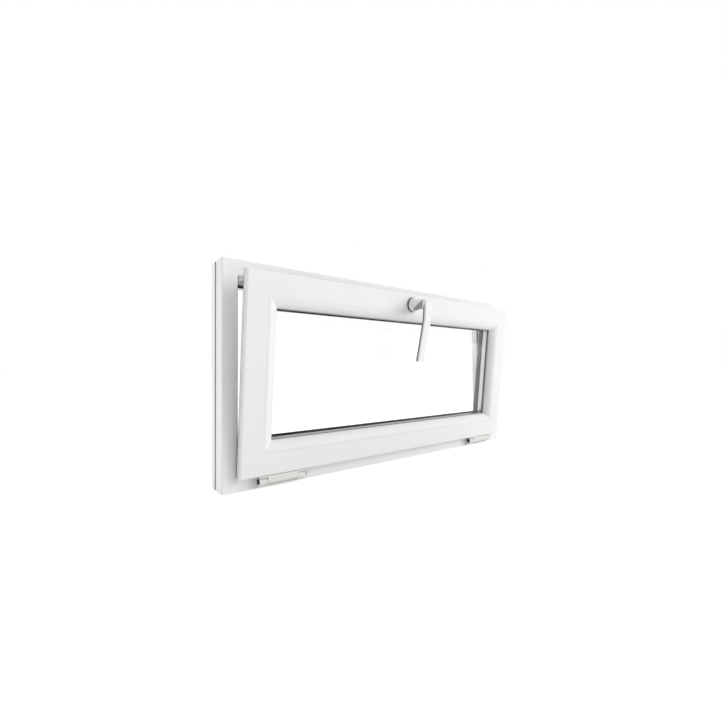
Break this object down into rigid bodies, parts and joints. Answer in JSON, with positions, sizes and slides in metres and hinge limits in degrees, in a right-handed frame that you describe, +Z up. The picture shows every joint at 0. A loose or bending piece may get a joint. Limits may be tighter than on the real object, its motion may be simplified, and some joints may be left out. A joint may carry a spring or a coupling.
{
  "type": "bottom-hung window",
  "caption": "Low, wide bottom-hung window whose glazed leaf tilts into the room on hinges in a mitred frame, with a lever handle on the top rail.",
  "frame": {"origin": "middle of the frame's underside, halfway through its depth", "axes": "+X to the right as seen from the room, +Y outdoors, +Z up"},
  "size_m": [0.8, 0.1655, 0.4],
  "materials": {
    "white_pvc": "smooth white, slightly glossy",
    "seal_rubber": "matt black",
    "clear_glass": "clear",
    "spacer_aluminium": "plain rolled",
    "zinced_steel": "zinc plated",
    "hinge_lacquer": "off-white lacquer",
    "handle_lacquer": "white lacquer"
  },
  "bodies": {
    "frame": {"frame_sill": "white_pvc", "frame_head": "white_pvc", "frame_left_jamb": "white_pvc", "frame_right_jamb": "white_pvc", "frame_seal": "seal_rubber", "hinge_left_fixed": "hinge_lacquer", "hinge_right_fixed": "hinge_lacquer", "stay_left_bracket": "zinced_steel", "stay_right_bracket": "zinced_steel", "striker_left": "zinced_steel", "striker_right": "zinced_steel", "drain_cap_left": "white_pvc", "drain_cap_right": "white_pvc"},
    "leaf": {"leaf_bottom_rail": "white_pvc", "leaf_top_rail": "white_pvc", "leaf_left_stile": "white_pvc", "leaf_right_stile": "white_pvc", "bead_bottom": "white_pvc", "bead_top": "white_pvc", "bead_left": "white_pvc", "bead_right": "white_pvc", "pane_inner": "clear_glass", "pane_outer": "clear_glass", "spacer_frame": "spacer_aluminium", "glass_gasket_inner": "seal_rubber", "glass_gasket_outer": "seal_rubber", "leaf_seal": "seal_rubber", "hinge_left_swinging": "hinge_lacquer", "hinge_right_swinging": "hinge_lacquer", "stay_left_track": "zinced_steel", "stay_right_track": "zinced_steel", "lock_bar": "zinced_steel", "handle_rosette": "handle_lacquer"},
    "handle": {"handle_lever": "handle_lacquer"},
    "stay_left": {"stay_left_arm": "zinced_steel"},
    "stay_right": {"stay_right_arm": "zinced_steel"}
  },
  "joints": [
    {"name": "leaf_tilt", "type": "hinge", "parent": "frame", "child": "leaf", "pos_m": [0, -0.039, 0.0135], "axis": [1, 0, 0], "range_deg": [-6, 0]},
    {"name": "handle_turn", "type": "hinge", "parent": "leaf", "child": "handle", "pos_m": [0, -0.08056, 0.35151], "axis": [0, -0.9945, -0.1045], "range_deg": [0, 90]},
    {"name": "stay_left_turn", "type": "hinge", "parent": "frame", "child": "stay_left", "pos_m": [-0.352, -0.012, 0.3702], "axis": [0, 0, -1], "range_deg": [-14.1, 0]},
    {"name": "stay_right_turn", "type": "hinge", "parent": "frame", "child": "stay_right", "pos_m": [0.352, -0.012, 0.3702], "axis": [0, 0, 1], "range_deg": [-14.1, 0]}
  ],
  "couplings": [
    {"joint": "stay_left_turn", "follows": "leaf_tilt", "ratio": 2.3385},
    {"joint": "stay_right_turn", "follows": "leaf_tilt", "ratio": 2.3385}
  ]
}
